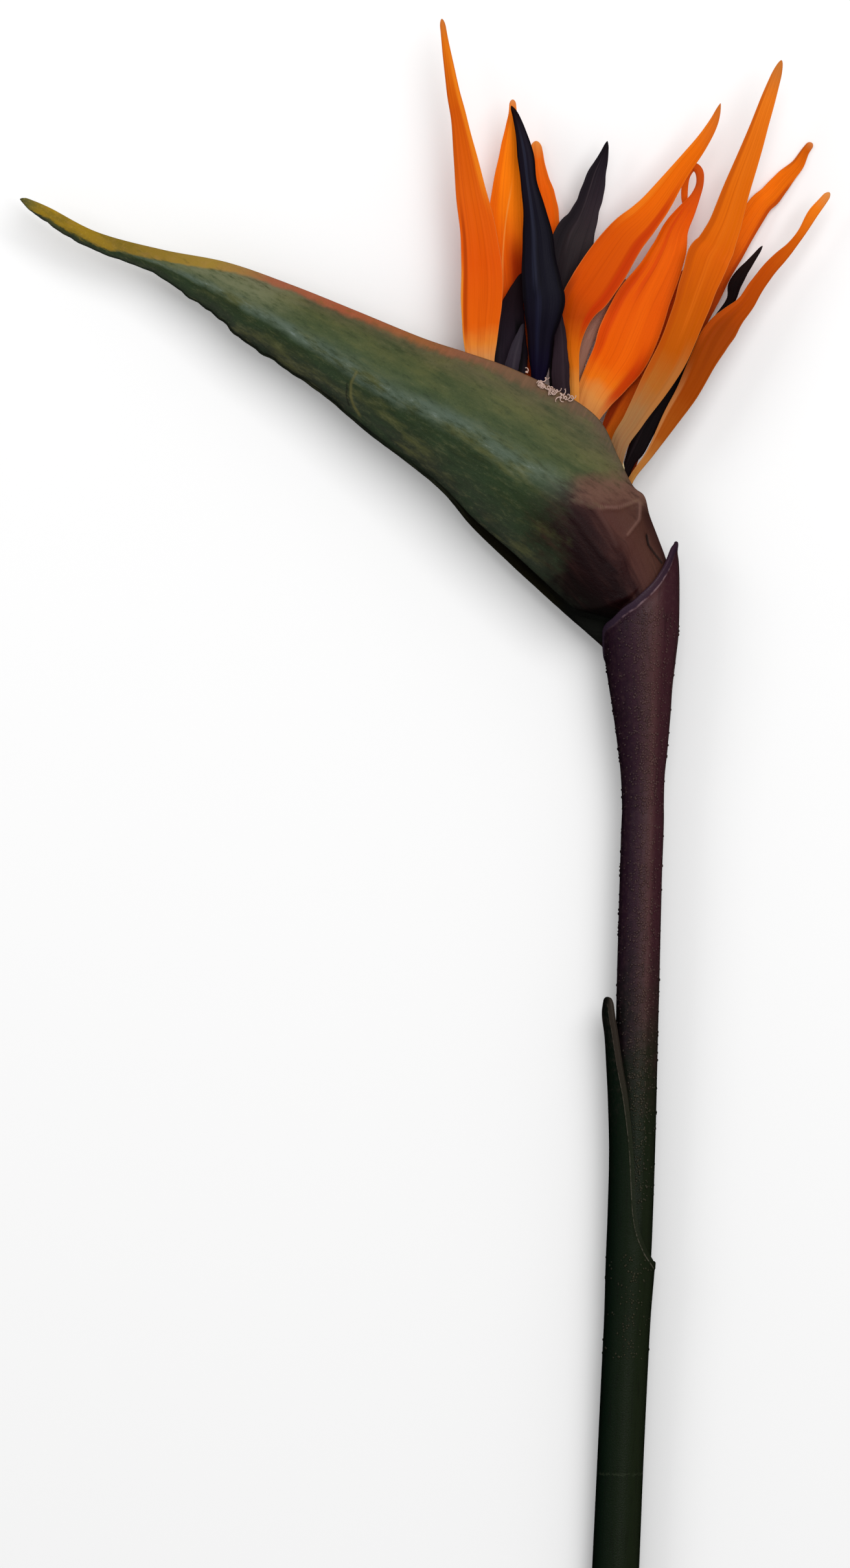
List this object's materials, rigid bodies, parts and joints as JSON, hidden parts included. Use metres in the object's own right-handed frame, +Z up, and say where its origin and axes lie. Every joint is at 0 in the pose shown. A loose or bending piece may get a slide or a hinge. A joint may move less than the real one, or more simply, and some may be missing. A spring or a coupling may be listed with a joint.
{
  "type": "bird of paradise flower",
  "caption": "Cut bird of paradise bloom lying on its side: a boat-shaped green spathe on a sheathed stalk, with a fan of orange sepals and dark blue tongues.",
  "frame": {"origin": "middle of the foot of the box round the whole flower, on the surface that it lies on", "axes": "+Y along the stalk from its cut end to the bloom, +X to the side the bloom's fan leans to, away from the spathe's tip, +Z up from the surface"},
  "size_m": [0.213, 0.4405, 0.0228],
  "materials": {
    "stalk": "waxy plant skin, dark brown-purple",
    "sheath": "waxy leaf sheath, very dark green",
    "collar": "waxy purple-brown bract with fine raised pimples",
    "spathe": "mottled olive-green bract with a blue-grey bloom and a red-orange rim",
    "pulp": "pale fleshy foot of the florets, moist",
    "sepal": "satin orange with fine lengthwise lines",
    "tongue": "very dark blue petal with a soft sheen",
    "tongue_dusk": "dark brown-purple petal, dull",
    "petal_cream": "thin pinkish cream petal, translucent"
  },
  "bodies": {
    "root": {"scape": "stalk", "lower_sheath": "sheath", "collar_sheath": "collar", "spathe": "spathe", "floret_foot_1": "pulp", "floret_foot_2": "pulp", "floret_foot_3": "pulp", "sepal_1": "sepal", "sepal_2": "sepal", "sepal_3": "sepal", "sepal_4": "sepal", "sepal_5": "sepal", "sepal_6": "sepal", "sepal_7": "sepal", "sepal_8": "sepal", "sepal_9": "sepal", "tongue_1": "tongue", "tongue_1_lobe": "tongue_dusk", "tongue_1_fin": "tongue_dusk", "tongue_2": "tongue_dusk", "tongue_2_lobe": "tongue_dusk", "tongue_3": "tongue_dusk", "tongue_3_chip": "petal_cream", "small_petal": "petal_cream"}
  },
  "joints": []
}
